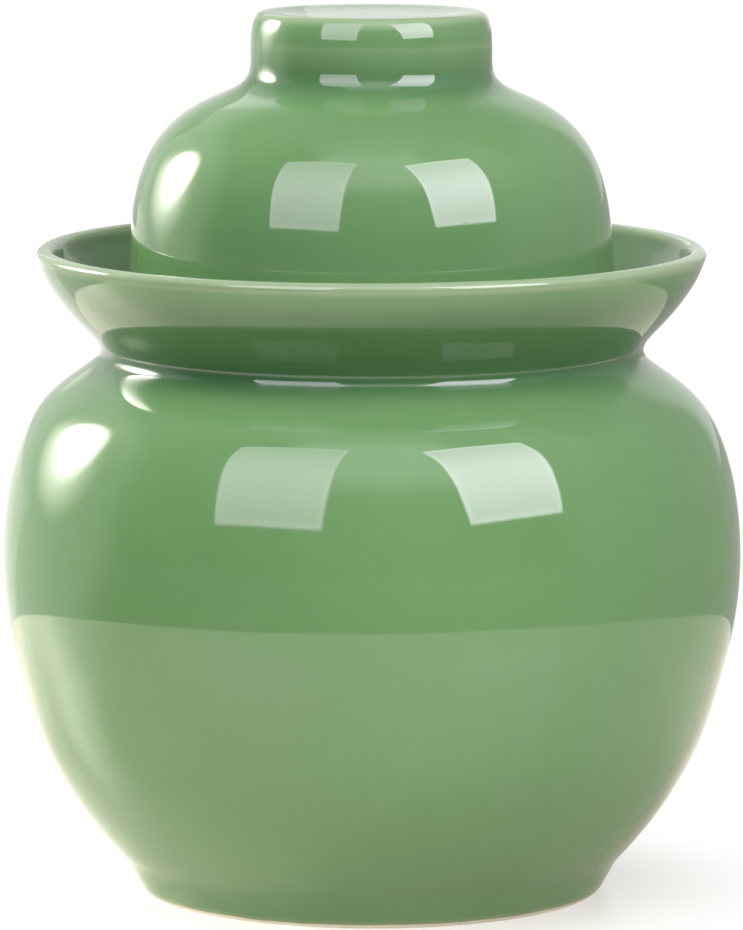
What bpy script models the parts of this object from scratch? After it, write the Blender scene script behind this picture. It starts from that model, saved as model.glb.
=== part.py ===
"""Water-sealed ceramic fermenting crock, as the separate pieces that come apart on a bench.

    crock_body           thrown jar: foot ring, belly, shoulder, neck and the flared water-seal moat, fired as one piece
    outer_lid            bowl-shaped cover whose rim stands in the moat, with a hollow knob
    inner_lid            small flat cover that drops into the neck
    weight_stone_left    half-moon weight, one of a pair that holds the food under the brine
    weight_stone_right   the other half-moon weight

Frame: metres, +Z up, origin at the centre of the foot ring's resting plane, +Y towards the back.
Profiles below are written in millimetres as (radius, height) pairs.
"""

import math

import bmesh
import bpy
import numpy as np

MM = 0.001

# ---------------------------------------------------------------- driving dimensions, mm
GAP = 0.3  # between pieces that rest on each other

FOOT_R = 59.2  # outer radius of the foot ring where it meets the table
FOOT_LAND_IN_R = 53.0  # inner edge of the foot ring's flat
FOOT_TOP_R = 64.0  # where the foot runs into the belly
FOOT_TOP_Z = 8.7
FOOT_RECESS_Z = 3.2  # underside of the floor, above the table
FLOOR_Z = 8.5  # inside floor
BELLY_R = 95.1
BELLY_Z = 86.0
WAIST_R = 70.1  # narrowest point, where collar and shoulder meet
WAIST_Z = 139.6
WALL = 5.5  # belly wall

MOUTH_R = 46.0  # neck bore: a mouth of 92 mm
NECK_R = 51.0
NECK_TOP_Z = 180.0
MOAT_FLOOR_Z = 145.5
MOAT_FLOOR_OUT_R = 66.6
COLLAR_R = 85.9
COLLAR_TOP_Z = 166.4
COLLAR_WALL = 4.4
LIP_IN_R = 83.3  # the inside of the lip falls away from here in a straight funnel
LIP_SLOPE = 0.66

LID_R = 62.6
LID_RIM_Z = MOAT_FLOOR_Z + GAP
LID_WALL = 4.6
KNOB_R = 30.95
KNOB_TOP_Z = 226.7
KNOB_LAND_IN_R = 24.0
KNOB_LAND_OUT_R = 27.3
KNOB_DISH = 0.7  # depth of the dished top
KNOB_CEILING_Z = 221.8

INNER_LID_R = 50.0
INNER_LID_Z = NECK_TOP_Z + GAP
SPIGOT_R = 44.4
SPIGOT_IN_R = 40.2
SPIGOT_DEPTH = 6.5
INNER_KNOB_R = 10.6
INNER_KNOB_TOP_Z = 203.0

WEIGHT_R = 48.5
WEIGHT_T = 14.0
WEIGHT_NOTCH_R = 9.5
WEIGHT_SPLIT = 1.0  # gap between the two halves
WEIGHT_Z = FLOOR_Z + GAP
WEIGHT_EDGE = 2.4

CROCK_STEPS = 48
LID_STEPS = 48
INNER_LID_STEPS = 36

# Stations of the crock's outer face, from the collar's rim down to the foot.
CROCK_OUTER = [
    (COLLAR_R, 164.4),
    (84.1, 159.6),
    (79.7, 152.6),
    (75.2, 147.3),
    (72.1, 144.0),
    (70.5, 141.7),
    (WAIST_R, WAIST_Z),
    (71.4, 137.6),
    (74.1, 135.4),
    (78.7, 132.1),
    (83.2, 128.3),
    (87.0, 123.5),
    (90.9, 114.8),
    (93.9, 102.5),
    (BELLY_R, BELLY_Z),
    (93.6, 70.0),
    (90.4, 56.5),
    (85.6, 41.3),
    (79.6, 29.1),
    (73.4, 19.6),
    (FOOT_TOP_R + 2.8, 11.6),
    (FOOT_TOP_R, FOOT_TOP_Z),
]
# Inside of the shoulder, from the belly's inner wall in to the foot of the neck.
SHOULDER_INNER = [(64.6, 135.9), (58.0, 139.1), (51.5, 140.6)]
# Stations of the outer lid, from the knob's lip down to the rim.
LID_OUTER = [
    (KNOB_R - 1.5, 225.8),
    (KNOB_R - 0.65, 223.8),
    (KNOB_R - 0.2, 221.4),
    (KNOB_R, 217.6),
    (KNOB_R, 214.5),
    (31.15, 211.9),
    (32.3, 209.4),
    (35.0, 207.2),
    (39.2, 205.3),
    (45.4, 202.3),
    (50.7, 198.4),
    (55.1, 193.4),
    (58.2, 187.5),
    (60.3, 180.4),
    (61.4, 173.5),
    (62.1, 162.0),
    (62.5, 152.0),
    (LID_R, 148.5),
]
# Top of the inner lid, from its knob out to the flange.
INNER_LID_TOP = [(6.9, 194.6), (8.2, 191.9), (13.5, 190.3), (28.0, 188.3), (42.0, 185.9), (46.5, 184.8)]


# ---------------------------------------------------------------- profile tools
def spline(stations, step=0.6):
    """Points every step mm along the natural cubic spline through the stations, which is smooth in its curvature."""
    p = np.array(stations, float)
    t = np.concatenate([[0.0], np.cumsum(np.linalg.norm(np.diff(p, axis=0), axis=1) ** 0.5)])
    n, h = len(p), np.diff(t)
    a, b = np.zeros((n, n)), np.zeros((n, 2))
    a[0, 0] = a[-1, -1] = 1.0
    for i in range(1, n - 1):
        a[i, i - 1 : i + 2] = h[i - 1], 2 * (h[i - 1] + h[i]), h[i]
        b[i] = 6 * ((p[i + 1] - p[i]) / h[i] - (p[i] - p[i - 1]) / h[i - 1])
    m = np.linalg.solve(a, b)
    out = []
    for i in range(n - 1):
        count = max(2, int(np.linalg.norm(p[i + 1] - p[i]) / step))
        for s in np.linspace(0.0, h[i], count, endpoint=False):
            u = h[i] - s
            out.append(
                (m[i] * u**3 + m[i + 1] * s**3) / (6 * h[i])
                + (p[i] / h[i] - m[i] * h[i] / 6) * u
                + (p[i + 1] / h[i] - m[i + 1] * h[i] / 6) * s
            )
    out.append(p[-1])
    return np.array(out)


def offset(points, distance):
    """The curve moved sideways by distance, to the right of its own direction."""
    d = np.gradient(points, axis=0)
    d /= np.linalg.norm(d, axis=1)[:, None]
    return points + distance * np.column_stack([d[:, 1], -d[:, 0]])


def path(*pieces):
    """Joins single points (r, z), corners (r, z, reach) and arrays of points into one line, and rounds each corner off from reach mm before it to reach mm after it."""
    points, reach = [], []
    for piece in pieces:
        if isinstance(piece, np.ndarray):
            points += [tuple(q) for q in piece]
            reach += [0.0] * len(piece)
        else:
            points.append(tuple(piece[:2]))
            reach.append(piece[2] if len(piece) == 3 else 0.0)
    p = np.array(points, float)
    s = np.concatenate([[0.0], np.cumsum(np.linalg.norm(np.diff(p, axis=0), axis=1))])

    def at(q):
        return np.array([np.interp(q, s, p[:, 0]), np.interp(q, s, p[:, 1])])

    cuts = [(s[i] - r, s[i] + r) for i, r in enumerate(reach) if r > 0]
    out = []
    for i, q in enumerate(p):
        inside = [c for c in cuts if c[0] <= s[i] <= c[1]]
        if not inside:
            out.append(q)
        elif reach[i] > 0:
            a, b = at(s[i] - reach[i]), at(s[i] + reach[i])
            da = a - at(s[i] - reach[i] - 0.3)
            db = at(s[i] + reach[i] + 0.3) - b
            da, db = da / np.linalg.norm(da), db / np.linalg.norm(db)
            k = 0.55 * reach[i]
            for t in np.linspace(0.0, 1.0, 13):
                out.append(
                    (1 - t) ** 3 * a
                    + 3 * (1 - t) ** 2 * t * (a + k * da)
                    + 3 * (1 - t) * t**2 * (b - k * db)
                    + t**3 * b
                )
    return np.array(out)


def thin_out(points, tolerance):
    """Keeps only the points that hold the line within tolerance; the ends of the line and of every level run stay."""
    keep = np.zeros(len(points), bool)
    keep[[0, -1]] = True
    level = (np.abs(np.diff(points[:, 1])) < 1e-6) & (np.abs(np.diff(points[:, 0])) > 1.0)
    keep[:-1] |= level
    keep[1:] |= level
    fixed = np.flatnonzero(keep)
    stack = list(zip(fixed[:-1], fixed[1:]))
    while stack:
        i, j = stack.pop()
        if j - i < 2:
            continue
        a, b = points[i], points[j]
        ab = b - a
        length = max(float(np.hypot(*ab)), 1e-9)
        away = np.abs(ab[0] * (points[i + 1 : j, 1] - a[1]) - ab[1] * (points[i + 1 : j, 0] - a[0])) / length
        k = int(np.argmax(away))
        if away[k] > tolerance:
            keep[i + 1 + k] = True
            stack += [(i, i + 1 + k), (i + 1 + k, j)]
    return points[keep]


# ---------------------------------------------------------------- profiles
def crock_profile():
    """Up the inside from the middle of the floor, over the lips, and down the outside to the middle of the underside."""
    outer = spline(CROCK_OUTER)
    collar = outer[outer[:, 1] > WAIST_Z + 6.0]
    collar_in = offset(collar, COLLAR_WALL)[::-1]
    collar_in = collar_in[(collar_in[:, 1] > MOAT_FLOOR_Z + 2.5) & (collar_in[:, 1] < COLLAR_TOP_Z - 2.3)]
    collar_in[:, 0] = np.minimum(collar_in[:, 0], LIP_IN_R - LIP_SLOPE * (COLLAR_TOP_Z - collar_in[:, 1]))
    belly = outer[outer[:, 1] < WAIST_Z - 5.5]
    belly_in = offset(belly, WALL)[::-1]
    belly_in = belly_in[belly_in[:, 1] > FLOOR_Z + 4.5]
    inner = spline([*belly_in[:: max(1, len(belly_in) // 26)], *SHOULDER_INNER])
    low = inner[0]
    slope = (inner[1] - inner[0]) / (inner[1, 1] - inner[0, 1])
    floor_corner = low + slope * (FLOOR_Z - low[1])
    wall_corner = collar_in[0] + (collar_in[1] - collar_in[0]) / (collar_in[1, 1] - collar_in[0, 1]) * (
        MOAT_FLOOR_Z - collar_in[0, 1]
    )
    return path(
        (0.0, FLOOR_Z),
        (floor_corner[0], FLOOR_Z, 6.5),
        inner,
        (MOUTH_R, 141.6, 4.2),
        (MOUTH_R, NECK_TOP_Z, 1.7),
        (NECK_R, NECK_TOP_Z, 1.7),
        (NECK_R, MOAT_FLOOR_Z, 3.4),
        (min(wall_corner[0], MOAT_FLOOR_OUT_R + 1.0), MOAT_FLOOR_Z, 3.2),
        collar_in,
        (collar_in[-1, 0] + 0.4, COLLAR_TOP_Z, 2.1),
        (COLLAR_R, COLLAR_TOP_Z, 2.0),
        outer,
        (FOOT_TOP_R - 0.3, FOOT_TOP_Z - 0.4, 2.2),
        (FOOT_R, 0.0, 1.3),
        (FOOT_LAND_IN_R, 0.0, 1.2),
        (FOOT_LAND_IN_R - 2.2, FOOT_RECESS_Z, 2.0),
        (0.0, FOOT_RECESS_Z),
    )


def outer_lid_profile():
    """From the middle of the knob's top down the outside to the rim, then up the inside to the knob's ceiling."""
    outer = spline(LID_OUTER)
    inner = offset(outer, LID_WALL)[::-1]
    inner = inner[(inner[:, 1] > LID_RIM_Z + 2.5) & (inner[:, 1] < 213.5)]
    knob_in = inner[-1, 0]
    return path(
        (0.0, KNOB_TOP_Z - KNOB_DISH),
        (KNOB_LAND_IN_R - 8.0, KNOB_TOP_Z - KNOB_DISH, 6.0),
        (KNOB_LAND_IN_R, KNOB_TOP_Z, 0.8),
        (KNOB_LAND_OUT_R, KNOB_TOP_Z),
        (KNOB_LAND_OUT_R + 1.9, KNOB_TOP_Z, 1.5),
        outer,
        (LID_R, LID_RIM_Z, 1.7),
        (LID_R - LID_WALL, LID_RIM_Z, 1.7),
        inner,
        (knob_in, KNOB_CEILING_Z, 5.0),
        (0.0, KNOB_CEILING_Z),
    )


def inner_lid_profile():
    """From the middle of its knob out over the top to the flange, then back under the spigot to the middle."""
    top = spline(INNER_LID_TOP)
    return path(
        (0.0, INNER_KNOB_TOP_Z),
        (INNER_KNOB_R, INNER_KNOB_TOP_Z - 0.4, 3.4),
        (INNER_KNOB_R - 0.4, INNER_KNOB_TOP_Z - 5.6, 2.2),
        (INNER_KNOB_R - 3.5, INNER_KNOB_TOP_Z - 6.9, 1.2),
        top,
        (INNER_LID_R, 184.4, 1.6),
        (INNER_LID_R, INNER_LID_Z, 1.2),
        (SPIGOT_R, INNER_LID_Z, 0.9),
        (SPIGOT_R, INNER_LID_Z - SPIGOT_DEPTH, 1.4),
        (SPIGOT_IN_R, INNER_LID_Z - SPIGOT_DEPTH, 1.4),
        (SPIGOT_IN_R - 0.8, INNER_LID_Z, 2.2),
        (26.0, INNER_LID_Z + 3.4, 5.0),
        (0.0, INNER_LID_Z + 4.6),
    )


# ---------------------------------------------------------------- building
def clear_scene():
    for obj in list(bpy.data.objects):
        bpy.data.objects.remove(obj, do_unlink=True)


def glaze(name, colour, roughness):
    material = bpy.data.materials.new(name)
    material.use_nodes = True
    shader = material.node_tree.nodes["Principled BSDF"]
    shader.inputs["Base Color"].default_value = (*colour, 1.0)
    shader.inputs["Roughness"].default_value = roughness
    shader.inputs["Metallic"].default_value = 0.0
    material.diffuse_color = (*colour, 1.0)
    return material


def turned(name, profile, steps, material, home, tolerance=0.2):
    """A piece turned on the wheel: its profile as a line of edges, spun round Z by a Screw modifier."""
    points = thin_out(profile, tolerance)
    mesh = bpy.data.meshes.new(name)
    shape = bmesh.new()
    verts = [shape.verts.new((r * MM, 0.0, z * MM)) for r, z in points]
    for a, b in zip(verts, verts[1:]):
        shape.edges.new((a, b))
    shape.to_mesh(mesh)
    shape.free()
    mesh.materials.append(material)
    obj = bpy.data.objects.new(name, mesh)
    home.objects.link(obj)
    screw = obj.modifiers.new("turn", "SCREW")
    screw.axis = "Z"
    screw.angle = math.tau
    screw.steps = screw.render_steps = steps
    screw.use_merge_vertices = True
    screw.merge_threshold = 0.00002
    screw.use_smooth_shade = True
    return obj


def half_moon(name, side, material, home):
    """A D-shaped weight: half a disc with a half-round finger notch in its straight edge, on side -1 or +1 in X."""
    flat = WEIGHT_SPLIT / 2
    a0 = math.asin(flat / WEIGHT_R)
    n0 = math.asin(flat / WEIGHT_NOTCH_R)
    rim = [
        (WEIGHT_R * math.cos(a), WEIGHT_R * math.sin(a))
        for a in np.linspace(-math.pi / 2 + a0, math.pi / 2 - a0, 25)
    ]
    notch = [
        (WEIGHT_NOTCH_R * math.cos(a), WEIGHT_NOTCH_R * math.sin(a))
        for a in np.linspace(math.pi / 2 - n0, -math.pi / 2 + n0, 9)
    ]
    outline = rim + notch
    curve = bpy.data.curves.new(name + "_outline", "CURVE")
    curve.dimensions = "2D"
    curve.fill_mode = "BOTH"
    curve.extrude = WEIGHT_T / 2 * MM
    line = curve.splines.new("POLY")
    line.points.add(len(outline) - 1)
    for point, (x, y) in zip(line.points, outline):
        point.co = (side * x * MM, y * MM, 0.0, 1.0)
    line.use_cyclic_u = True
    guide = bpy.data.objects.new(name + "_outline", curve)
    home.objects.link(guide)
    bpy.context.view_layer.update()
    graph = bpy.context.evaluated_depsgraph_get()
    mesh = bpy.data.meshes.new_from_object(guide.evaluated_get(graph))
    bpy.data.objects.remove(guide, do_unlink=True)
    shape = bmesh.new()
    shape.from_mesh(mesh)
    bmesh.ops.remove_doubles(shape, verts=shape.verts, dist=0.00001)
    bmesh.ops.recalc_face_normals(shape, faces=shape.faces)
    shape.to_mesh(mesh)
    shape.free()
    mesh.name = name
    mesh.materials.clear()
    mesh.materials.append(material)
    obj = bpy.data.objects.new(name, mesh)
    obj.location = (0.0, 0.0, (WEIGHT_Z + WEIGHT_T / 2) * MM)
    home.objects.link(obj)
    edge = obj.modifiers.new("rounded_edges", "BEVEL")
    edge.width = WEIGHT_EDGE * MM
    edge.segments = 2
    edge.limit_method = "ANGLE"
    edge.angle_limit = math.radians(50.0)
    edge.use_clamp_overlap = True
    return obj


def main():
    clear_scene()
    home = bpy.data.collections.new("ceramic_crock_fermenter")
    bpy.context.scene.collection.children.link(home)
    green = glaze("green_glaze", (0.150, 0.345, 0.140), 0.06)
    green_inner = glaze("green_glaze_inner_lid", (0.165, 0.365, 0.155), 0.08)
    stone = glaze("stoneware_weights", (0.720, 0.670, 0.560), 0.35)
    turned("crock_body", crock_profile(), CROCK_STEPS, green, home)
    turned("outer_lid", outer_lid_profile(), LID_STEPS, green, home)
    turned("inner_lid", inner_lid_profile(), INNER_LID_STEPS, green_inner, home)
    half_moon("weight_stone_left", -1, stone, home)
    half_moon("weight_stone_right", 1, stone, home)
    bpy.context.view_layer.update()


main()
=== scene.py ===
"""Looks of the ceramic crock fermenter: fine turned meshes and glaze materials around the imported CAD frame."""

import math

import bmesh
import bpy
import numpy as np
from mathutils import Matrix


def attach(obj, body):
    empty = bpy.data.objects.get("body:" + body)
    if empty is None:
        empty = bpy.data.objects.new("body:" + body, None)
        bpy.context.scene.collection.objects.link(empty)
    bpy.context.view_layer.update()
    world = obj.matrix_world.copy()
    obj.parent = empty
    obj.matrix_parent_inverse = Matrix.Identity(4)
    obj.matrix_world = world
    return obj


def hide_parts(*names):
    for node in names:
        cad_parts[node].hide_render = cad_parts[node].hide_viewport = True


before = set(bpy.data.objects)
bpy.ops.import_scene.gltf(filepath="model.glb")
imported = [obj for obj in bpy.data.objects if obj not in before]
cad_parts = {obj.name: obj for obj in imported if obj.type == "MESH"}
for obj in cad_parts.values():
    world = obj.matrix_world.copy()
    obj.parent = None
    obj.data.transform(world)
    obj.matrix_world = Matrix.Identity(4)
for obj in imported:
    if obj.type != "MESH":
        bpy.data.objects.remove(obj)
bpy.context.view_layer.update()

MM = 0.001

# ---------------------------------------------------------------- sizes, mm, as in the CAD
GAP = 0.3
FOOT_R = 59.2
FOOT_LAND_IN_R = 53.0
FOOT_TOP_R = 64.0
FOOT_TOP_Z = 8.7
FOOT_RECESS_Z = 3.2
FLOOR_Z = 8.5
BELLY_R = 95.1
BELLY_Z = 86.0
WAIST_R = 70.1
WAIST_Z = 139.6
WALL = 5.5
MOUTH_R = 46.0
NECK_R = 51.0
NECK_TOP_Z = 180.0
MOAT_FLOOR_Z = 145.5
MOAT_FLOOR_OUT_R = 66.6
COLLAR_R = 85.9
COLLAR_TOP_Z = 166.4
COLLAR_WALL = 4.4
LIP_IN_R = 83.3
LIP_SLOPE = 0.66
LID_R = 62.6
LID_RIM_Z = MOAT_FLOOR_Z + GAP
LID_WALL = 4.6
KNOB_R = 30.95
KNOB_TOP_Z = 226.7
KNOB_LAND_IN_R = 24.0
KNOB_LAND_OUT_R = 27.3
KNOB_DISH = 0.7
KNOB_CEILING_Z = 221.8
INNER_LID_R = 50.0
INNER_LID_Z = NECK_TOP_Z + GAP
SPIGOT_R = 44.4
SPIGOT_IN_R = 40.2
SPIGOT_DEPTH = 6.5
INNER_KNOB_R = 10.6
INNER_KNOB_TOP_Z = 203.0
WEIGHT_R = 48.5
WEIGHT_T = 14.0
WEIGHT_NOTCH_R = 9.5
WEIGHT_SPLIT = 1.0
WEIGHT_Z = FLOOR_Z + GAP
WEIGHT_EDGE = 2.4

CROCK_OUTER = [
    (COLLAR_R, 164.4),
    (84.1, 159.6),
    (79.7, 152.6),
    (75.2, 147.3),
    (72.1, 144.0),
    (70.5, 141.7),
    (WAIST_R, WAIST_Z),
    (71.4, 137.6),
    (74.1, 135.4),
    (78.7, 132.1),
    (83.2, 128.3),
    (87.0, 123.5),
    (90.9, 114.8),
    (93.9, 102.5),
    (BELLY_R, BELLY_Z),
    (93.6, 70.0),
    (90.4, 56.5),
    (85.6, 41.3),
    (79.6, 29.1),
    (73.4, 19.6),
    (FOOT_TOP_R + 2.8, 11.6),
    (FOOT_TOP_R, FOOT_TOP_Z),
]
SHOULDER_INNER = [(64.6, 135.9), (58.0, 139.1), (51.5, 140.6)]
LID_OUTER = [
    (KNOB_R - 1.5, 225.8),
    (KNOB_R - 0.65, 223.8),
    (KNOB_R - 0.2, 221.4),
    (KNOB_R, 217.6),
    (KNOB_R, 214.5),
    (31.15, 211.9),
    (32.3, 209.4),
    (35.0, 207.2),
    (39.2, 205.3),
    (45.4, 202.3),
    (50.7, 198.4),
    (55.1, 193.4),
    (58.2, 187.5),
    (60.3, 180.4),
    (61.4, 173.5),
    (62.1, 162.0),
    (62.5, 152.0),
    (LID_R, 148.5),
]
INNER_LID_TOP = [(6.9, 194.6), (8.2, 191.9), (13.5, 190.3), (28.0, 188.3), (42.0, 185.9), (46.5, 184.8)]


# ---------------------------------------------------------------- profile tools
def spline(stations, step=0.6):
    """Points every step mm along the natural cubic spline through the stations."""
    p = np.array(stations, float)
    t = np.concatenate([[0.0], np.cumsum(np.linalg.norm(np.diff(p, axis=0), axis=1) ** 0.5)])
    n, h = len(p), np.diff(t)
    a, b = np.zeros((n, n)), np.zeros((n, 2))
    a[0, 0] = a[-1, -1] = 1.0
    for i in range(1, n - 1):
        a[i, i - 1 : i + 2] = h[i - 1], 2 * (h[i - 1] + h[i]), h[i]
        b[i] = 6 * ((p[i + 1] - p[i]) / h[i] - (p[i] - p[i - 1]) / h[i - 1])
    m = np.linalg.solve(a, b)
    out = []
    for i in range(n - 1):
        count = max(2, int(np.linalg.norm(p[i + 1] - p[i]) / step))
        for s in np.linspace(0.0, h[i], count, endpoint=False):
            u = h[i] - s
            out.append(
                (m[i] * u**3 + m[i + 1] * s**3) / (6 * h[i])
                + (p[i] / h[i] - m[i] * h[i] / 6) * u
                + (p[i + 1] / h[i] - m[i + 1] * h[i] / 6) * s
            )
    out.append(p[-1])
    return np.array(out)


def offset(points, distance):
    """The curve moved sideways by distance, to the right of its own direction."""
    d = np.gradient(points, axis=0)
    d /= np.linalg.norm(d, axis=1)[:, None]
    return points + distance * np.column_stack([d[:, 1], -d[:, 0]])


def path(*pieces):
    """Joins points (r, z), corners (r, z, reach) and arrays of points into one line, with each corner rounded off."""
    points, reach = [], []
    for piece in pieces:
        if isinstance(piece, np.ndarray):
            points += [tuple(q) for q in piece]
            reach += [0.0] * len(piece)
        else:
            points.append(tuple(piece[:2]))
            reach.append(piece[2] if len(piece) == 3 else 0.0)
    p = np.array(points, float)
    s = np.concatenate([[0.0], np.cumsum(np.linalg.norm(np.diff(p, axis=0), axis=1))])

    def at(q):
        return np.array([np.interp(q, s, p[:, 0]), np.interp(q, s, p[:, 1])])

    cuts = [(s[i] - r, s[i] + r) for i, r in enumerate(reach) if r > 0]
    out = []
    for i, q in enumerate(p):
        inside = [c for c in cuts if c[0] <= s[i] <= c[1]]
        if not inside:
            out.append(q)
        elif reach[i] > 0:
            a, b = at(s[i] - reach[i]), at(s[i] + reach[i])
            da = a - at(s[i] - reach[i] - 0.3)
            db = at(s[i] + reach[i] + 0.3) - b
            da, db = da / np.linalg.norm(da), db / np.linalg.norm(db)
            k = 0.55 * reach[i]
            for t in np.linspace(0.0, 1.0, 13):
                out.append(
                    (1 - t) ** 3 * a
                    + 3 * (1 - t) ** 2 * t * (a + k * da)
                    + 3 * (1 - t) * t**2 * (b - k * db)
                    + t**3 * b
                )
    return np.array(out)


# ---------------------------------------------------------------- profiles
def crock_profile():
    outer = spline(CROCK_OUTER)
    collar = outer[outer[:, 1] > WAIST_Z + 6.0]
    collar_in = offset(collar, COLLAR_WALL)[::-1]
    collar_in = collar_in[(collar_in[:, 1] > MOAT_FLOOR_Z + 2.5) & (collar_in[:, 1] < COLLAR_TOP_Z - 2.3)]
    collar_in[:, 0] = np.minimum(collar_in[:, 0], LIP_IN_R - LIP_SLOPE * (COLLAR_TOP_Z - collar_in[:, 1]))
    belly = outer[outer[:, 1] < WAIST_Z - 5.5]
    belly_in = offset(belly, WALL)[::-1]
    belly_in = belly_in[belly_in[:, 1] > FLOOR_Z + 4.5]
    inner = spline([*belly_in[:: max(1, len(belly_in) // 26)], *SHOULDER_INNER])
    low = inner[0]
    slope = (inner[1] - inner[0]) / (inner[1, 1] - inner[0, 1])
    floor_corner = low + slope * (FLOOR_Z - low[1])
    wall_corner = collar_in[0] + (collar_in[1] - collar_in[0]) / (collar_in[1, 1] - collar_in[0, 1]) * (
        MOAT_FLOOR_Z - collar_in[0, 1]
    )
    return path(
        (0.0, FLOOR_Z),
        (floor_corner[0], FLOOR_Z, 6.5),
        inner,
        (MOUTH_R, 141.6, 4.2),
        (MOUTH_R, NECK_TOP_Z, 1.7),
        (NECK_R, NECK_TOP_Z, 1.7),
        (NECK_R, MOAT_FLOOR_Z, 3.4),
        (min(wall_corner[0], MOAT_FLOOR_OUT_R + 1.0), MOAT_FLOOR_Z, 3.2),
        collar_in,
        (collar_in[-1, 0] + 0.4, COLLAR_TOP_Z, 2.1),
        (COLLAR_R, COLLAR_TOP_Z, 2.0),
        outer,
        (FOOT_TOP_R - 0.3, FOOT_TOP_Z - 0.4, 2.2),
        (FOOT_R, 0.0, 1.3),
        (FOOT_LAND_IN_R, 0.0, 1.2),
        (FOOT_LAND_IN_R - 2.2, FOOT_RECESS_Z, 2.0),
        (0.0, FOOT_RECESS_Z),
    )


def outer_lid_profile():
    outer = spline(LID_OUTER)
    inner = offset(outer, LID_WALL)[::-1]
    inner = inner[(inner[:, 1] > LID_RIM_Z + 2.5) & (inner[:, 1] < 213.5)]
    knob_in = inner[-1, 0]
    return path(
        (0.0, KNOB_TOP_Z - KNOB_DISH),
        (KNOB_LAND_IN_R - 8.0, KNOB_TOP_Z - KNOB_DISH, 6.0),
        (KNOB_LAND_IN_R, KNOB_TOP_Z, 0.8),
        (KNOB_LAND_OUT_R, KNOB_TOP_Z),
        (KNOB_LAND_OUT_R + 1.9, KNOB_TOP_Z, 1.5),
        outer,
        (LID_R, LID_RIM_Z, 1.7),
        (LID_R - LID_WALL, LID_RIM_Z, 1.7),
        inner,
        (knob_in, KNOB_CEILING_Z, 5.0),
        (0.0, KNOB_CEILING_Z),
    )


def inner_lid_profile():
    top = spline(INNER_LID_TOP)
    return path(
        (0.0, INNER_KNOB_TOP_Z),
        (INNER_KNOB_R, INNER_KNOB_TOP_Z - 0.4, 3.4),
        (INNER_KNOB_R - 0.4, INNER_KNOB_TOP_Z - 5.6, 2.2),
        (INNER_KNOB_R - 3.5, INNER_KNOB_TOP_Z - 6.9, 1.2),
        top,
        (INNER_LID_R, 184.4, 1.6),
        (INNER_LID_R, INNER_LID_Z, 1.2),
        (SPIGOT_R, INNER_LID_Z, 0.9),
        (SPIGOT_R, INNER_LID_Z - SPIGOT_DEPTH, 1.4),
        (SPIGOT_IN_R, INNER_LID_Z - SPIGOT_DEPTH, 1.4),
        (SPIGOT_IN_R - 0.8, INNER_LID_Z, 2.2),
        (26.0, INNER_LID_Z + 3.4, 5.0),
        (0.0, INNER_LID_Z + 4.6),
    )


# ---------------------------------------------------------------- turned meshes
def smoothstep(a, b, x):
    t = np.clip((x - a) / (b - a), 0.0, 1.0)
    return t * t * (3 - 2 * t)


def blur(values, s, reach):
    """values along the line, averaged with a bell curve of that reach in mm."""
    w = np.exp(-0.5 * ((s[:, None] - s[None, :]) / reach) ** 2)
    w *= np.gradient(s)[None, :]
    return (w @ values) / w.sum(1)


def even_line(points, step):
    """The line with points step mm apart, closer together where it bends."""
    s = np.concatenate([[0.0], np.cumsum(np.linalg.norm(np.diff(points, axis=0), axis=1))])
    fine = np.linspace(0.0, s[-1], int(s[-1] / 0.1))
    p = np.column_stack([np.interp(fine, s, points[:, 0]), np.interp(fine, s, points[:, 1])])
    p = np.column_stack([blur(p[:, 0], fine, 0.22), blur(p[:, 1], fine, 0.22)])
    p[0], p[-1] = points[0], points[-1]
    d = np.gradient(p, axis=0)
    angle = np.unwrap(np.arctan2(d[:, 1], d[:, 0]))
    bend = blur(-np.gradient(angle, fine), fine, 0.45)
    density = 1.0 / step + np.abs(bend) * 2.6
    run = np.concatenate([[0.0], np.cumsum((density[1:] + density[:-1]) / 2 * np.diff(fine))])
    count = int(run[-1]) + 1
    q = np.interp(np.linspace(0.0, run[-1], count), run, fine)
    at = lambda v: np.interp(q, fine, v)
    return np.column_stack([at(p[:, 0]), at(p[:, 1])]), q, at(blur(bend, fine, 0.9))


def ripple(angle, z, seed, size):
    """Slight unevenness of a hand-finished pot, mm: the sum of a few long waves round and along it."""
    out = np.zeros(np.broadcast(angle, z).shape)
    for k, (n, wave, share) in enumerate(
        [(2, 190.0, 1.0), (3, 120.0, 0.55), (5, 74.0, 0.30), (8, 43.0, 0.13), (13, 29.0, 0.06), (0, 23.0, 0.10), (0, 11.0, 0.05)]
    ):
        a = math.sin(seed * 12.9898 + k * 78.233) * 43758.5453
        b = math.sin(seed * 39.3467 + k * 11.135) * 24634.6345
        out = out + share * np.sin(n * angle + math.tau * (a - math.floor(a))) * np.sin(
            math.tau * z / wave + math.tau * (b - math.floor(b))
        )
    return size * out


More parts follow.
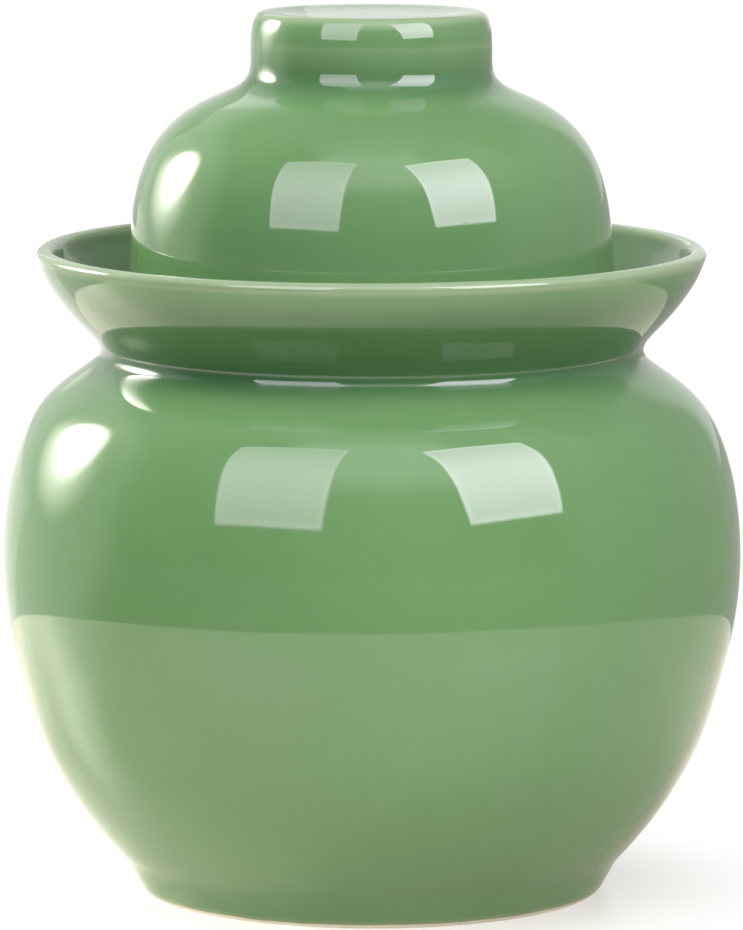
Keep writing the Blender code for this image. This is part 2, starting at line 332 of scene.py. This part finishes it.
def turned(name, profile, segments, step, seed, size, bare, lean=0.0, painted_flare_shade=None, streak=None):
    """A turned piece as a fine mesh, with how thin the glaze lies (thin), where it gathers in hollows together with
    painted shade there and under the flare (pool_and_shade) and how far each point is past the glaze's edge (bare, in
    mm).
    """
    line, s, bend = even_line(profile, step)
    r, z = line[:, 0], line[:, 1]
    angle = np.arange(segments) * math.tau / segments
    fade = smoothstep(4.0, 22.0, r)[:, None]
    d = np.gradient(line, axis=0)
    d /= np.maximum(np.linalg.norm(d, axis=1), 1e-9)[:, None]
    out = np.column_stack([-d[:, 1], d[:, 0]])
    off = ripple(angle[None, :], z[:, None] + 0.35 * s[:, None], seed, size) * fade
    held = smoothstep(0.0, 3.0, np.minimum(np.abs(z - z.min()), np.abs(z.max() - z)))[:, None]
    off = off * held
    past = bare(line, s)
    step_in = 0.16 * smoothstep(-0.25, 0.25, past)[:, None] * smoothstep(0.0, 1.0, np.abs(z - z.min()))[:, None]
    rr = r[:, None] + out[:, :1] * (off - step_in)
    zz = z[:, None] + out[:, 1:] * (off - step_in)
    # A hand-set collar stands a hair lower at the front than at the back.
    zz = zz + lean * np.sin(angle) * (smoothstep(62.0, 70.0, r) * smoothstep(146.0, COLLAR_TOP_Z, z))[:, None]
    rr[[0, -1]] = 0.0
    inner = slice(1, len(r) - 1)
    xyz = np.stack([rr[inner] * np.cos(angle), rr[inner] * np.sin(angle), zz[inner]], axis=-1).reshape(-1, 3)
    ends = np.array([[0.0, 0.0, z[0]], [0.0, 0.0, z[-1]]])
    verts = np.concatenate([xyz, ends]) * MM
    rings, faces = len(r) - 2, []
    first, last = len(xyz), len(xyz) + 1
    for i in range(rings - 1):
        a, b = i * segments, (i + 1) * segments
        for j in range(segments):
            k = (j + 1) % segments
            faces.append((a + j, b + j, b + k, a + k))
    for j in range(segments):
        k = (j + 1) % segments
        faces.append((first, j, k))
        faces.append((last, (rings - 1) * segments + k, (rings - 1) * segments + j))
    mesh = bpy.data.meshes.new(name)
    mesh.from_pydata(verts.tolist(), [], faces)
    mesh.update()
    shape = bmesh.new()
    shape.from_mesh(mesh)
    bmesh.ops.recalc_face_normals(shape, faces=shape.faces)
    shape.to_mesh(mesh)
    shape.free()
    thin = smoothstep(0.10, 0.42, bend)
    # Partly real, partly painted shade: where the profile turns inward the glaze pools deeper, and the colour is
    # darkened for the shade that falls in those creases.
    pool_and_shade = smoothstep(0.02, 0.20, -bend)
    thin, pool_and_shade = blur(thin, s, 0.8), np.minimum(1.0, 1.3 * blur(pool_and_shade, s, 3.2))
    # Painted shade under the flare joins the same mask.
    if painted_flare_shade:
        pool_and_shade = np.maximum(pool_and_shade, painted_flare_shade(line))
    if streak:
        thin = np.maximum(thin, streak(line))
    for label, values in (("thin", thin), ("pool_and_shade", pool_and_shade), ("bare", past)):
        layer = mesh.attributes.new(label, "FLOAT", "POINT")
        full = np.concatenate([np.repeat(values[inner], segments), values[[0, -1]]])
        layer.data.foreach_set("value", full.astype(np.float32))
    mesh.polygons.foreach_set("use_smooth", [True] * len(mesh.polygons))
    obj = bpy.data.objects.new(name, mesh)
    bpy.context.scene.collection.objects.link(obj)
    return obj


def crock_bare(line, s):
    """Below the glaze line 1 mm above the table, and all the underside, the clay is bare."""
    under = np.arange(len(line)) > np.argmin(np.hypot(line[:, 0] - FOOT_R, line[:, 1]) + 200.0 * (line[:, 0] < 40))
    low = 1.0 - line[:, 1]
    outside = np.arange(len(line)) > len(line) // 2
    return np.where(under, 3.0, np.where(outside, low, -5.0))


def crock_painted_flare_shade(line):
    """Painted shade on the flare's outside and the waist under it, strongest between 141 and 153 mm up, laid into the
    pool mask.
    """
    outside = np.arange(len(line)) > np.argmax(line[:, 1] * (line[:, 0] > COLLAR_R - 4.0))
    return 0.53 * outside * smoothstep(132.0, 141.0, line[:, 1]) * smoothstep(165.0, 153.0, line[:, 1])


def knob_streak(line):
    """A faint throwing ridge round the knob, where the glaze is a little thin."""
    side = (line[:, 0] > KNOB_R - 1.6) & (line[:, 1] > 213.0)
    ridge = np.exp(-(((line[:, 1] - 218.6) / 0.9) ** 2)) + 0.45 * np.exp(-(((line[:, 1] - 214.9) / 0.5) ** 2))
    return side * (0.10 + 0.20 * ridge)


def lid_bare(line, s):
    """The bottom of the rim, which the lid is fired on."""
    return np.clip(LID_RIM_Z + 0.7 - line[:, 1], -5.0, 3.0)


def inner_lid_bare(line, s):
    """The flange's underside and the spigot are wiped clean."""
    turn = np.argmax(line[:, 0])
    after = np.arange(len(line)) - turn
    return np.where(after < 0, -5.0, np.clip(INNER_LID_Z + 0.6 - line[:, 1], -5.0, 3.0) + np.where(after > 4, 3.0, 0.0))


# ---------------------------------------------------------------- weights
def half_moon(name, side):
    """A D-shaped weight with a finger notch, as a filled curve with rounded edges."""
    edge, flat = WEIGHT_EDGE, WEIGHT_SPLIT / 2
    outline = []
    a0 = math.asin(flat / WEIGHT_R)
    n0 = math.asin(flat / WEIGHT_NOTCH_R)
    for a in np.linspace(-math.pi / 2 + a0, math.pi / 2 - a0, 121):
        outline.append((WEIGHT_R * math.cos(a), WEIGHT_R * math.sin(a)))
    for y in np.linspace(WEIGHT_R, WEIGHT_NOTCH_R, 20)[1:-1]:
        outline.append((flat, y))
    for a in np.linspace(math.pi / 2 - n0, -math.pi / 2 + n0, 41):
        outline.append((WEIGHT_NOTCH_R * math.cos(a), WEIGHT_NOTCH_R * math.sin(a)))
    for y in np.linspace(-WEIGHT_NOTCH_R, -WEIGHT_R, 20)[1:-1]:
        outline.append((flat, y))
    p = np.array(outline)
    # Rounds the outline's four corners, which are the only places where it turns sharply.
    s = np.concatenate([[0.0], np.cumsum(np.linalg.norm(np.diff(np.vstack([p, p[:1]]), axis=0), axis=1))])
    loop = np.vstack([p, p[:1]])
    fine = np.linspace(0.0, s[-1], 900, endpoint=False)
    q = np.column_stack([np.interp(fine, s, loop[:, 0]), np.interp(fine, s, loop[:, 1])])
    gap = np.abs(fine[:, None] - fine[None, :])
    gap = np.minimum(gap, s[-1] - gap)
    w = np.exp(-0.5 * (gap / 1.25) ** 2)
    q = (w @ q) / w.sum(1)[:, None]
    centre = q.mean(0)
    curve = bpy.data.curves.new(name + "_outline", "CURVE")
    curve.dimensions = "2D"
    curve.fill_mode = "BOTH"
    curve.extrude = (WEIGHT_T / 2 - edge) * MM
    curve.bevel_depth = edge * MM
    curve.bevel_resolution = 5
    curve.offset = -edge * MM
    spline_ = curve.splines.new("POLY")
    take = q[::3]
    spline_.points.add(len(take) - 1)
    for point, (x, y) in zip(spline_.points, take):
        point.co = (side * x * MM, y * MM, 0.0, 1.0)
    spline_.use_cyclic_u = True
    guide = bpy.data.objects.new(name + "_outline", curve)
    bpy.context.scene.collection.objects.link(guide)
    bpy.context.view_layer.update()
    mesh = bpy.data.meshes.new_from_object(guide.evaluated_get(bpy.context.evaluated_depsgraph_get()))
    bpy.data.objects.remove(guide, do_unlink=True)
    shape = bmesh.new()
    shape.from_mesh(mesh)
    bmesh.ops.remove_doubles(shape, verts=shape.verts, dist=0.00002)
    bmesh.ops.recalc_face_normals(shape, faces=shape.faces)
    bmesh.ops.translate(shape, verts=shape.verts, vec=(0.0, 0.0, (WEIGHT_Z + WEIGHT_T / 2) * MM))
    shape.to_mesh(mesh)
    shape.free()
    mesh.name = name
    mesh.polygons.foreach_set("use_smooth", [True] * len(mesh.polygons))
    obj = bpy.data.objects.new(name, mesh)
    bpy.context.scene.collection.objects.link(obj)
    return obj


# ---------------------------------------------------------------- materials
class Graph:
    """Small helper that adds nodes and joins them."""

    def __init__(self, tree):
        self.tree = tree

    def add(self, kind, inputs=None, **settings):
        node = self.tree.nodes.new(kind)
        for key, value in settings.items():
            setattr(node, key, value)
        for key, value in (inputs or {}).items():
            if isinstance(value, bpy.types.NodeSocket):
                self.tree.links.new(value, node.inputs[key])
            else:
                node.inputs[key].default_value = value
        return node

    def math(self, operation, a, b=0.0, c=0.0, clamp=False):
        return self.add("ShaderNodeMath", {0: a, 1: b, 2: c}, operation=operation, use_clamp=clamp).outputs[0]

    def mix(self, factor, a, b, blend="MIX"):
        node = self.add("ShaderNodeMix", data_type="RGBA", blend_type=blend, clamp_factor=True)
        for key, value in ((0, factor), (6, a), (7, b)):
            if isinstance(value, bpy.types.NodeSocket):
                self.tree.links.new(value, node.inputs[key])
            else:
                node.inputs[key].default_value = (*value, 1.0) if isinstance(value, tuple) and len(value) == 3 else value
        return node.outputs[2]

    def ramp(self, value, low, high, to_low=0.0, to_high=1.0):
        return self.add(
            "ShaderNodeMapRange",
            {0: value, 1: low, 2: high, 3: to_low, 4: to_high},
            interpolation_type="SMOOTHSTEP",
            clamp=True,
        ).outputs[0]

    def noise(self, where, scale, detail=3.0, rough=0.5, distortion=0.0):
        return self.add(
            "ShaderNodeTexNoise",
            {"Vector": where, "Scale": scale, "Detail": detail, "Roughness": rough, "Distortion": distortion},
        ).outputs["Fac"]

    def attribute(self, name):
        return self.add("ShaderNodeAttribute", attribute_name=name).outputs["Fac"]


GREEN = (0.096, 0.203, 0.075)
GREEN_DEEP = (0.090, 0.192, 0.070)
GREEN_THIN = (0.185, 0.268, 0.142)
GREEN_BREAK = (0.640, 0.690, 0.560)
# Partly pooled glaze, partly painted shade: the dark green laid into the hollows and under the flare.
GREEN_POOL_AND_SHADE = (0.009, 0.061, 0.022)
CLAY = (0.72, 0.68, 0.58)
CLAY_DARK = (0.58, 0.50, 0.38)


def new_material(name):
    material = bpy.data.materials.new(name)
    material.use_nodes = True
    material.node_tree.nodes.clear()
    graph = Graph(material.node_tree)
    shader = graph.add("ShaderNodeBsdfPrincipled")
    out = graph.add("ShaderNodeOutputMaterial")
    material.node_tree.links.new(shader.outputs[0], out.inputs[0])
    return material, graph, shader


def glaze(name, shift, breaks):
    """Glossy celadon-green glaze: paler where it thins on lips, deeper where it gathers, darker with painted shade in
    the hollows and under the flare, and bare clay past its edge.
    """
    material, g, shader = new_material(name)
    where = g.add("ShaderNodeTexCoord").outputs["Object"]
    where = g.add("ShaderNodeVectorMath", {0: where, 1: shift}, operation="ADD").outputs[0]
    cloud = g.noise(where, 14.0, 2.0, 0.5)
    mottle = g.noise(where, 90.0, 2.0, 0.5, 0.2)
    grain = g.noise(where, 900.0, 2.0, 0.5)
    colour = g.mix(g.ramp(cloud, 0.36, 0.66), GREEN_DEEP, GREEN)
    colour = g.mix(g.math("MULTIPLY", g.ramp(mottle, 0.50, 0.80), 0.05), colour, GREEN_THIN)
    # Where the glaze draws thin over a lip the pale body shows through, nearly white on the sharpest edge.
    thin = g.math("MULTIPLY", g.attribute("thin"), g.ramp(mottle, 0.2, 0.7, 0.82, 1.0))
    colour = g.mix(g.ramp(thin, 0.0, 0.62), colour, GREEN_THIN)
    colour = g.mix(g.ramp(thin, 0.72, 1.0, 0.0, breaks), colour, GREEN_BREAK)
    # Deeper green where glaze pools in hollows, darkened further as painted shade there and under the flare.
    pool_and_shade = g.math("MULTIPLY", g.attribute("pool_and_shade"), g.ramp(cloud, 0.3, 0.7, 0.6, 0.9))
    colour = g.mix(pool_and_shade, colour, GREEN_POOL_AND_SHADE)
    # A few fine iron specks and pinholes in the glaze.
    cells = g.add("ShaderNodeTexVoronoi", {"Vector": where, "Scale": 150.0, "Randomness": 1.0})
    pick = g.add("ShaderNodeSeparateColor", {0: cells.outputs["Color"]}).outputs[0]
    speck = g.math("MULTIPLY", g.ramp(cells.outputs["Distance"], 0.045, 0.08, 1.0, 0.0), g.math("GREATER_THAN", pick, 0.96))
    colour = g.mix(g.math("MULTIPLY", speck, 0.20), colour, (0.13, 0.16, 0.07))
    # The glaze's edge wanders a little, with a darker flash on the clay beside it.
    edge = g.math("ADD", g.attribute("bare"), g.math("MULTIPLY", g.math("SUBTRACT", g.noise(where, 70.0, 3.0), 0.5), 0.9))
    clay_share = g.ramp(edge, -0.12, 0.12)
    lip = g.math("MULTIPLY", g.ramp(edge, -1.6, -0.1), 0.65)
    colour = g.mix(lip, colour, GREEN_THIN)
    clay = g.mix(g.ramp(g.noise(where, 260.0, 4.0, 0.65), 0.3, 0.7), CLAY, (0.78, 0.74, 0.65))
    clay = g.mix(g.ramp(edge, 0.8, 0.0, 0.0, 0.6), clay, CLAY_DARK)
    clay = g.mix(g.ramp(grain, 0.66, 0.74, 0.0, 0.6), clay, (0.45, 0.37, 0.27))
    colour = g.mix(clay_share, colour, clay)
    smooth = g.ramp(g.noise(where, 46.0, 3.0), 0.3, 0.75, 0.030, 0.055)
    smooth = g.math("ADD", smooth, g.math("MULTIPLY", speck, 0.10))
    rough = g.add("ShaderNodeMix", {0: clay_share, 2: smooth, 3: 0.72}, data_type="FLOAT").outputs[0]
    skin = g.math("ADD", g.math("MULTIPLY", g.noise(where, 170.0, 2.0, 0.4), 0.16), g.math("MULTIPLY", speck, -0.10))
    skin = g.math("ADD", skin, g.math("MULTIPLY", g.math("MULTIPLY", grain, clay_share), 0.9))
    bump = g.add("ShaderNodeBump", {"Strength": 0.22, "Distance": 0.00022, "Height": skin})
    g.tree.links.new(colour, shader.inputs["Base Color"])
    g.tree.links.new(rough, shader.inputs["Roughness"])
    g.tree.links.new(bump.outputs[0], shader.inputs["Normal"])
    shader.inputs["IOR"].default_value = 1.54
    material.diffuse_color = (*GREEN, 1.0)
    return material


def stoneware(name, shift):
    """Bare cream stoneware of the weights: fine grain, soft stains and a smoother, slightly darker wear on the edges."""
    material, g, shader = new_material(name)
    coords = g.add("ShaderNodeTexCoord").outputs["Object"]
    where = g.add("ShaderNodeVectorMath", {0: coords, 1: shift}, operation="ADD").outputs[0]
    cloud, grain = g.noise(where, 24.0, 4.0, 0.6), g.noise(where, 700.0, 3.0, 0.6)
    colour = g.mix(g.ramp(cloud, 0.35, 0.7), (0.66, 0.59, 0.47), (0.76, 0.71, 0.60))
    colour = g.mix(g.math("MULTIPLY", g.ramp(grain, 0.60, 0.72), 0.5), colour, (0.42, 0.34, 0.25))
    rough = g.ramp(cloud, 0.3, 0.7, 0.46, 0.60)
    bump = g.add("ShaderNodeBump", {"Strength": 0.35, "Distance": 0.0003, "Height": grain})
    g.tree.links.new(colour, shader.inputs["Base Color"])
    g.tree.links.new(rough, shader.inputs["Roughness"])
    g.tree.links.new(bump.outputs[0], shader.inputs["Normal"])
    material.diffuse_color = (0.72, 0.66, 0.55, 1.0)
    return material


# ---------------------------------------------------------------- the pieces
crock = turned("crock_body_glazed", crock_profile(), 200, 1.35, 1.0, 0.10, crock_bare, 0.6, painted_flare_shade=crock_painted_flare_shade)
crock.data.materials.append(glaze("celadon_glaze_crock", (0.0, 0.0, 0.0), 0.06))
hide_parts("crock_body")
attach(crock, "crock")

outer_lid = turned("outer_lid_glazed", outer_lid_profile(), 224, 1.2, 2.0, 0.07, lid_bare, streak=knob_streak)
outer_lid.data.materials.append(glaze("celadon_glaze_outer_lid", (0.31, 0.17, 0.05), 0.95))
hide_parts("outer_lid")
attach(outer_lid, "outer_lid")

inner_lid = turned("inner_lid_glazed", inner_lid_profile(), 192, 1.1, 3.0, 0.05, inner_lid_bare)
inner_lid.data.materials.append(glaze("celadon_glaze_inner_lid", (0.11, 0.43, 0.21), 0.3))
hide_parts("inner_lid")
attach(inner_lid, "inner_lid")

for side, body, node in ((-1, "weight_left", "weight_stone_left"), (1, "weight_right", "weight_stone_right")):
    stone = half_moon(node + "_fine", side)
    stone.data.materials.append(stoneware(node + "_stoneware", (0.2 * side, 0.1, 0.3)))
    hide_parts(node)
    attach(stone, body)


# ---------------------------------------------------------------- studio
TABLE_R = 0.375
SOFTBOX_RIGHT = 8.8
SOFTBOX_LEFT = 5.0
UMBRELLA = 21.0


def emitter(name, corners_or_radius, strength, centre=None, towards=None, falloff=None, band=None, tint=(1.0, 1.0, 1.0)):
    """A light as a glowing sheet: a four-cornered one with a brighter band across it, or a round one that fades towards its edge."""
    shape = bmesh.new()
    if centre is None:
        shape.faces.new([shape.verts.new(c) for c in corners_or_radius])
    else:
        bmesh.ops.create_circle(shape, cap_ends=True, cap_tris=False, segments=64, radius=corners_or_radius)
    mesh = bpy.data.meshes.new(name)
    shape.to_mesh(mesh)
    shape.free()
    obj = bpy.data.objects.new(name, mesh)
    bpy.context.scene.collection.objects.link(obj)
    if centre is not None:
        obj.location = centre
        direction = np.array(towards) - np.array(centre)
        pitch = math.atan2(direction[2], math.hypot(direction[0], direction[1]))
        obj.rotation_euler = (math.pi / 2 + pitch, 0.0, math.atan2(direction[1], direction[0]) - math.pi / 2)
    material = bpy.data.materials.new(name)
    material.use_nodes = True
    material.node_tree.nodes.clear()
    g = Graph(material.node_tree)
    level = strength
    if falloff:
        where = g.add("ShaderNodeTexCoord").outputs["Object"]
        far = g.add("ShaderNodeVectorMath", {0: where}, operation="LENGTH").outputs["Value"]
        # The lower half is dimmer, and light leaks down along the stand.
        up = g.add("ShaderNodeSeparateXYZ", {0: where}).outputs[1]
        cloth = g.add("ShaderNodeVectorMath", {0: where, 1: (0.02, 0.0, 0.0)}, operation="SUBTRACT").outputs[0]
        cloth = g.add("ShaderNodeVectorMath", {0: cloth, 1: (1.07, 1.0, 1.0)}, operation="MULTIPLY").outputs[0]
        cloth = g.add("ShaderNodeVectorMath", {0: cloth}, operation="LENGTH").outputs["Value"]
        core = g.math("MULTIPLY", g.ramp(cloth, falloff[0], falloff[1], strength, 0.0), g.ramp(up, -0.26, 0.02, 0.25, 1.0))
        below = g.add("ShaderNodeVectorMath", {0: where, 1: (-0.01, -0.13, 0.0)}, operation="SUBTRACT").outputs[0]
        below = g.add("ShaderNodeVectorMath", {0: below, 1: (1 / 0.50, 1 / 0.40, 1.0)}, operation="MULTIPLY").outputs[0]
        below = g.add("ShaderNodeVectorMath", {0: below}, operation="LENGTH").outputs["Value"]
        leak = g.ramp(below, 0.0, 1.0, 6.5, 0.0)
        level = g.math("ADD", g.math("ADD", core, leak), g.ramp(far, falloff[1] - 0.07, falloff[2], 1.7, 1.1))
    if band:
        where = g.add("ShaderNodeTexCoord").outputs["Object"]
        middle, up, half, across, half_width, hemmed = band
        from_middle = g.add("ShaderNodeVectorMath", {0: where, 1: tuple(middle)}, operation="SUBTRACT").outputs[0]
        along = g.add("ShaderNodeVectorMath", {0: from_middle, 1: tuple(up)}, operation="DOT_PRODUCT").outputs["Value"]
        along = g.math("DIVIDE", along, half)
        aside = g.add("ShaderNodeVectorMath", {0: from_middle, 1: tuple(across)}, operation="DOT_PRODUCT").outputs["Value"]
        aside = g.math("ABSOLUTE", g.math("DIVIDE", aside, half_width))
        away = g.math("ABSOLUTE", g.math("ADD", along, 0.12))
        level = g.ramp(away, 0.0, 1.0, 1.16 * strength, 0.80 * strength)
        if hemmed:
            # The cloth shines more along its hem, and fades out over the last bit.
            out_by = g.math("MAXIMUM", aside, g.math("ABSOLUTE", along))
            hem = g.math("MULTIPLY", g.ramp(out_by, 0.86, 0.93, 0.0, 0.16 * strength), g.ramp(out_by, 1.0, 0.95))
            level = g.math("MULTIPLY", g.math("ADD", level, hem), g.ramp(out_by, 1.0, 0.95, 0.30, 1.0))
    glow = g.add("ShaderNodeEmission", {"Color": (*tint, 1.0), "Strength": level})
    out = g.add("ShaderNodeOutputMaterial")
    g.tree.links.new(glow.outputs[0], out.inputs[0])
    mesh.materials.append(material)
    obj.visible_camera = False
    return obj


def softbox(name, centre, across, up, width, height, strength, tint, hemmed=True):
    centre, across, up = (np.array(v, float) for v in (centre, across, up))
    a, u = across * width / 2, up * height / 2
    corners = [tuple(centre + a + u), tuple(centre - a + u), tuple(centre - a - u), tuple(centre + a - u)]
    return emitter(name, corners, strength, band=(centre, up, height / 2, across, width / 2, hemmed), tint=tint)


softbox(
    "softbox_right", (0.737, -0.690, 0.867), (0.745, 0.667, 0.013), (-0.339, 0.363, 0.868), 0.714, 1.020, SOFTBOX_RIGHT, (1.0, 0.92, 1.06)
)
softbox(
    "softbox_left", (-0.569, -0.811, 0.893), (0.937, -0.349, -0.026), (0.164, 0.373, 0.913), 0.761, 1.121, SOFTBOX_LEFT, (1.0, 0.93, 1.05)
)
emitter("umbrella_left", 0.52, UMBRELLA, centre=(-1.04, 0.565, 0.565), towards=(0.0, 0.0, 0.13), falloff=(0.155, 0.335, 0.52), tint=(1.0, 0.98, 0.88))


def flag():
    """A small card behind the crock's left shoulder, as bright as the room, that keeps the umbrella out of the moat's right side."""
    obj = softbox("flag", (-0.063, 0.115, 0.215), (0.876, 0.482, 0.0), (0.0, 0.0, 1.0), 0.105, 0.10, 0.82, (1.0, 1.0, 0.97), False)
    obj.visible_diffuse = False
    obj.visible_shadow = False


flag()


def fill():
    """A dim overhead panel to the left, which only shows as soft light on the shoulders."""
    obj = softbox("fill", (-0.42, 0.02, 1.12), (0.94, 0.0, 0.35), (0.0, 1.0, 0.0), 0.56, 0.50, 2.3, (0.87, 1.0, 1.06), False)
    obj.visible_glossy = False


fill()


def room_level(g, x, y, front_level):
    """How bright the room is all round at table height: dim on the right, brighter on the left, darkest behind the camera and to its left."""
    level = g.ramp(x, 0.30, -0.60, 0.50, 1.15)
    turn = g.math("ADD", y, g.math("ADD", g.math("MULTIPLY", x, 0.10), g.math("MULTIPLY", g.math("MAXIMUM", x, 0.0), 0.25)))
    front = g.ramp(turn, 0.08, -0.30)
    return blend(g, front, level, front_level)


def behind(g, x, y):
    """x / y for directions behind the crock, and far to the right for all the others."""
    slope = g.math("DIVIDE", x, g.math("MAXIMUM", y, 0.001))
    return g.add("ShaderNodeMix", {0: g.math("GREATER_THAN", y, 0.0), 2: 99.0, 3: slope}, data_type="FLOAT").outputs[0]


def between(g, value, low, high, soft_low, soft_high):
    """1 where value lies between low and high."""
    return g.math("MULTIPLY", g.ramp(value, low - soft_low, low + soft_low), g.ramp(value, high + soft_high, high - soft_high))


def blend(g, factor, a, b):
    return g.add("ShaderNodeMix", {0: factor, 2: a, 3: b}, data_type="FLOAT").outputs[0]


def stage_floor():
    """A large pale floor. Within TABLE_R of the crock it is a white glossy turntable with painted shade by the foot and
    a painted glow towards the umbrella; past that, reflections see a darker room.
    """
    bpy.ops.mesh.primitive_plane_add(size=30.0, location=(0.0, 0.0, 0.0))
    floor = bpy.context.object
    floor.name = "floor"
    material = bpy.data.materials.new("floor_white")
    material.use_nodes = True
    material.node_tree.nodes.clear()
    g = Graph(material.node_tree)
    where = g.add("ShaderNodeTexCoord").outputs["Object"]
    far = g.add("ShaderNodeVectorMath", {0: where}, operation="LENGTH").outputs["Value"]
    seen = g.add("ShaderNodeLightPath").outputs["Is Camera Ray"]
    # Painted shade: the table's colour is darker by the foot, where little light gets in.
    tone = g.mix(g.ramp(far, 0.09, 0.20), (0.62, 0.59, 0.47), (0.77, 0.73, 0.60))
    sheen = g.add("ShaderNodeBsdfPrincipled", {"Base Color": tone, "Roughness": 0.24, "Specular IOR Level": 0.2})
    round_about = g.add("ShaderNodeSeparateXYZ", {0: g.add("ShaderNodeVectorMath", {0: where}, operation="NORMALIZE").outputs[0]})
    x, y = round_about.outputs[0], round_about.outputs[1]
    side = behind(g, x, y)
    # The backdrop's paper sweeps out over the floor behind the crock, a little more to the left than to the right.
    paper = between(g, side, -0.90, 0.19, 0.02, 0.09)
    paper_level = g.ramp(side, -0.10, -0.40, 1.82, 1.45)
    level = blend(g, paper, room_level(g, x, y, 0.26), paper_level)
    # Painted light: a warm glow added to the table, brightest on the side next to the umbrella, with a weaker glow
    # towards the front and close by the crock's left.
    painted_table_glow = g.math("MULTIPLY", g.ramp(x, -0.42, -0.74), g.ramp(far, 0.06, 0.36, 0.22, 0.78))
    painted_table_glow = g.math("MULTIPLY", painted_table_glow, g.ramp(y, -0.45, 0.05, 0.30, 1.0))
    place = g.add("ShaderNodeVectorMath", {0: where, 1: (0.48, 0.877, 0.0)}, operation="DOT_PRODUCT").outputs["Value"]
    painted_table_glow = g.math("MULTIPLY", painted_table_glow, g.ramp(place, -0.084, -0.067, 0.66, 1.22))
    fill = g.math("MULTIPLY", g.ramp(y, -0.20, -0.70), g.ramp(x, 0.7, -0.4, 0.06, 0.30))
    near = g.math("MULTIPLY", g.ramp(x, 0.1, -0.4), g.ramp(far, 0.16, 0.08, 0.0, 0.46))
    painted_table_glow = g.math("ADD", painted_table_glow, g.math("MAXIMUM", fill, near))
    warm = g.add("ShaderNodeEmission", {"Color": (1.0, 0.98, 0.86, 1.0), "Strength": painted_table_glow})
    table = g.add("ShaderNodeAddShader", {0: sheen.outputs[0], 1: warm.outputs[0]})
    room = g.add("ShaderNodeEmission", {"Color": g.mix(g.ramp(x, 0.1, -0.6), (1.0, 0.98, 0.92), (1.0, 0.985, 0.92)), "Strength": level})
    white = g.add("ShaderNodeEmission", {"Color": (1.0, 1.0, 1.0, 1.0), "Strength": 1.0})
    beyond = g.add("ShaderNodeMixShader", {0: seen, 1: room.outputs[0], 2: white.outputs[0]})
    edge = g.ramp(far, TABLE_R - 0.001, TABLE_R + 0.001)
    fade = g.ramp(far, 0.060, 0.115, 0.45, 1.0)
    share = blend(g, seen, edge, fade)
    both = g.add("ShaderNodeMixShader", {0: share, 1: table.outputs[0], 2: beyond.outputs[0]})
    out = g.add("ShaderNodeOutputMaterial")
    g.tree.links.new(both.outputs[0], out.inputs[0])
    floor.data.materials.append(material)


def studio_world():
    """White to the camera. To reflections and bounces: the room at table height, a bright ceiling in front and a dimmer one behind."""
    world = bpy.data.worlds.new("studio")
    bpy.context.scene.world = world
    world.use_nodes = True
    world.node_tree.nodes.clear()
    g = Graph(world.node_tree)
    where = g.add("ShaderNodeTexCoord").outputs["Generated"]
    x, y, z = g.add("ShaderNodeSeparateXYZ", {0: where}).outputs
    low = room_level(g, x, y, 0.07)
    # The backdrop hangs from a bar behind the crock, with a brighter strip to the left of its middle.
    side = behind(g, x, y)
    sheet = g.math("MULTIPLY", between(g, side, -0.36, 0.52, 0.06, 0.10), g.ramp(z, 0.58, 0.42))
    low = blend(g, sheet, low, 0.96)
    strip = g.math("MULTIPLY", between(g, side, -0.29, -0.09, 0.05, 0.03), between(g, z, 0.16, 0.68, 0.03, 0.04))
    low = blend(g, strip, low, 1.6)
    low = g.math("ADD", low, g.math("MULTIPLY", g.ramp(y, -0.30, -0.80), g.ramp(z, 0.10, 0.45, 0.0, 0.10)))
    # Overhead, the ceiling panel over the camera is bright, the right side dimmer and the rest dim.
    level_y = g.math("DIVIDE", y, g.math("SQRT", g.math("ADD", g.math("ADD", g.math("MULTIPLY", x, x), g.math("MULTIPLY", y, y)), 0.0001)))
    high = g.math("MULTIPLY", g.ramp(x, 0.15, 0.55), g.ramp(y, 0.25, -0.05, 0.0, 0.50))
    high = g.math("ADD", high, g.math("MULTIPLY", g.ramp(x, 0.1, -0.4), g.ramp(y, -0.15, 0.2, 0.0, 0.20)))
    high = g.math("ADD", high, 0.18)
    high = blend(g, g.ramp(level_y, -0.62, -0.85), high, 1.90)
    ceiling = blend(g, g.ramp(z, 0.90, 0.98), high, g.ramp(y, -0.20, 0.05, 0.85, 0.35))
    above = g.math("SUBTRACT", z, g.math("ADD", g.ramp(y, -0.2, 0.3, 0.0, 0.19), g.ramp(y, -0.45, -0.80, 0.0, 0.08)))
    level = blend(g, g.ramp(above, 0.36, 0.58), low, ceiling)
    seen = g.add("ShaderNodeLightPath").outputs["Is Camera Ray"]
    strength = blend(g, seen, level, 1.0)
    warm = g.math("MULTIPLY", g.ramp(x, 0.0, -0.6), g.ramp(z, 0.6, 0.3))
    tone = g.mix(g.math("MULTIPLY", warm, g.math("SUBTRACT", 1.0, seen)), (1.0, 1.0, 0.98), (1.0, 0.99, 0.95))
    back = g.add("ShaderNodeBackground", {"Color": tone, "Strength": strength})
    out = g.add("ShaderNodeOutputWorld")
    g.tree.links.new(back.outputs[0], out.inputs[0])


stage_floor()
studio_world()

camera_data = bpy.data.cameras.new("camera")
camera_data.lens = 275.3
camera_data.sensor_width = 36.0
camera_data.clip_end = 100.0
camera = bpy.data.objects.new("camera", camera_data)
bpy.context.scene.collection.objects.link(camera)
camera.location = (0.0, -1.815, 0.352)
camera.rotation_euler = (math.radians(90.0 - 7.602), 0.0, 0.0)
bpy.context.scene.camera = camera
bpy.context.scene.view_settings.view_transform = "Standard"

bpy.context.view_layer.update()
